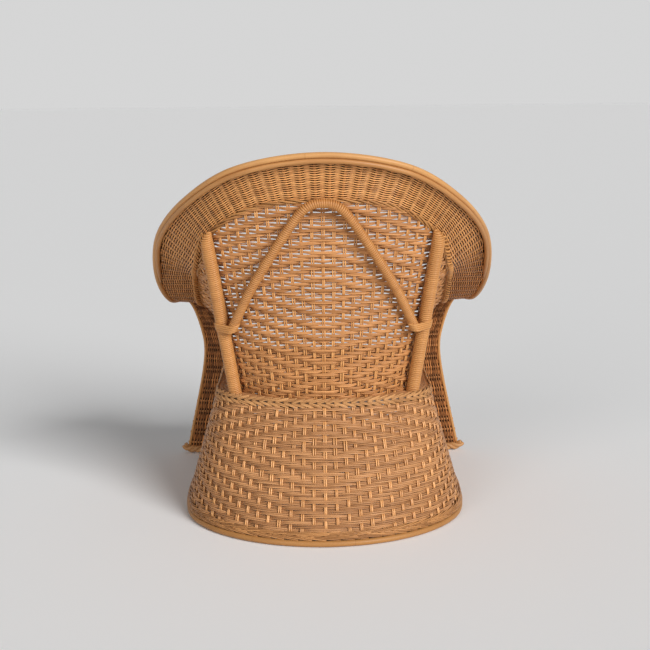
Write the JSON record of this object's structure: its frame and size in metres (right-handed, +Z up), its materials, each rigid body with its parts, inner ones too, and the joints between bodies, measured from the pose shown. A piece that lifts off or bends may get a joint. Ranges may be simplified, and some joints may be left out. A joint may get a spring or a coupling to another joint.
{
  "type": "wicker peacock chair",
  "caption": "Low wicker armchair with a tub back, a wide flared collar that runs down into the arms, wrapped rear posts with a bent brace, and a woven skirt that stands on the floor.",
  "frame": {"origin": "on the floor, under the middle of the chair's bounding box", "axes": "+Z up, +Y towards the front of the seat, +X to the right as the chair is seen from behind"},
  "size_m": [0.805, 0.7774, 0.8595],
  "materials": {
    "pole": "bent rattan pole, satin lacquer",
    "cane": "bare round cane, satin lacquer",
    "peel": "glossy rattan peel, wound side by side",
    "fine_weave": "fine round reed in plain weave, satin",
    "twill": "round reed in twill weave, satin",
    "plait": "plaited round reed, satin"
  },
  "bodies": {
    "root": {"crest_hoop": "pole", "arm_bow_right": "pole", "arm_bow_left": "pole", "rear_post_right": "pole", "rear_post_left": "pole", "back_brace": "pole", "seat_ring": "pole", "front_seat_rail": "pole", "rear_cross_rail": "pole", "front_cross_rail": "pole", "corner_leg_right": "pole", "corner_leg_left": "pole", "rim_cane_edge": "cane", "rim_cane_rear": "cane", "rim_cane_front": "cane", "floor_hoop": "cane", "front_floor_rail": "cane", "post_wrap_right": "peel", "post_wrap_left": "peel", "brace_wrap": "peel", "brace_binding_right": "peel", "brace_binding_left": "peel", "collar_weave": "fine_weave", "arm_weave_right": "fine_weave", "arm_weave_left": "fine_weave", "lapel_right": "fine_weave", "lapel_left": "fine_weave", "back_panel": "twill", "arm_panel_right": "twill", "arm_panel_left": "twill", "seat_deck": "twill", "skirt_rear": "twill", "skirt_side_right": "twill", "skirt_side_left": "twill", "front_apron": "twill", "waist_braid": "plait", "floor_braid": "plait", "foot_braid_right": "plait", "foot_braid_left": "plait"}
  },
  "joints": []
}
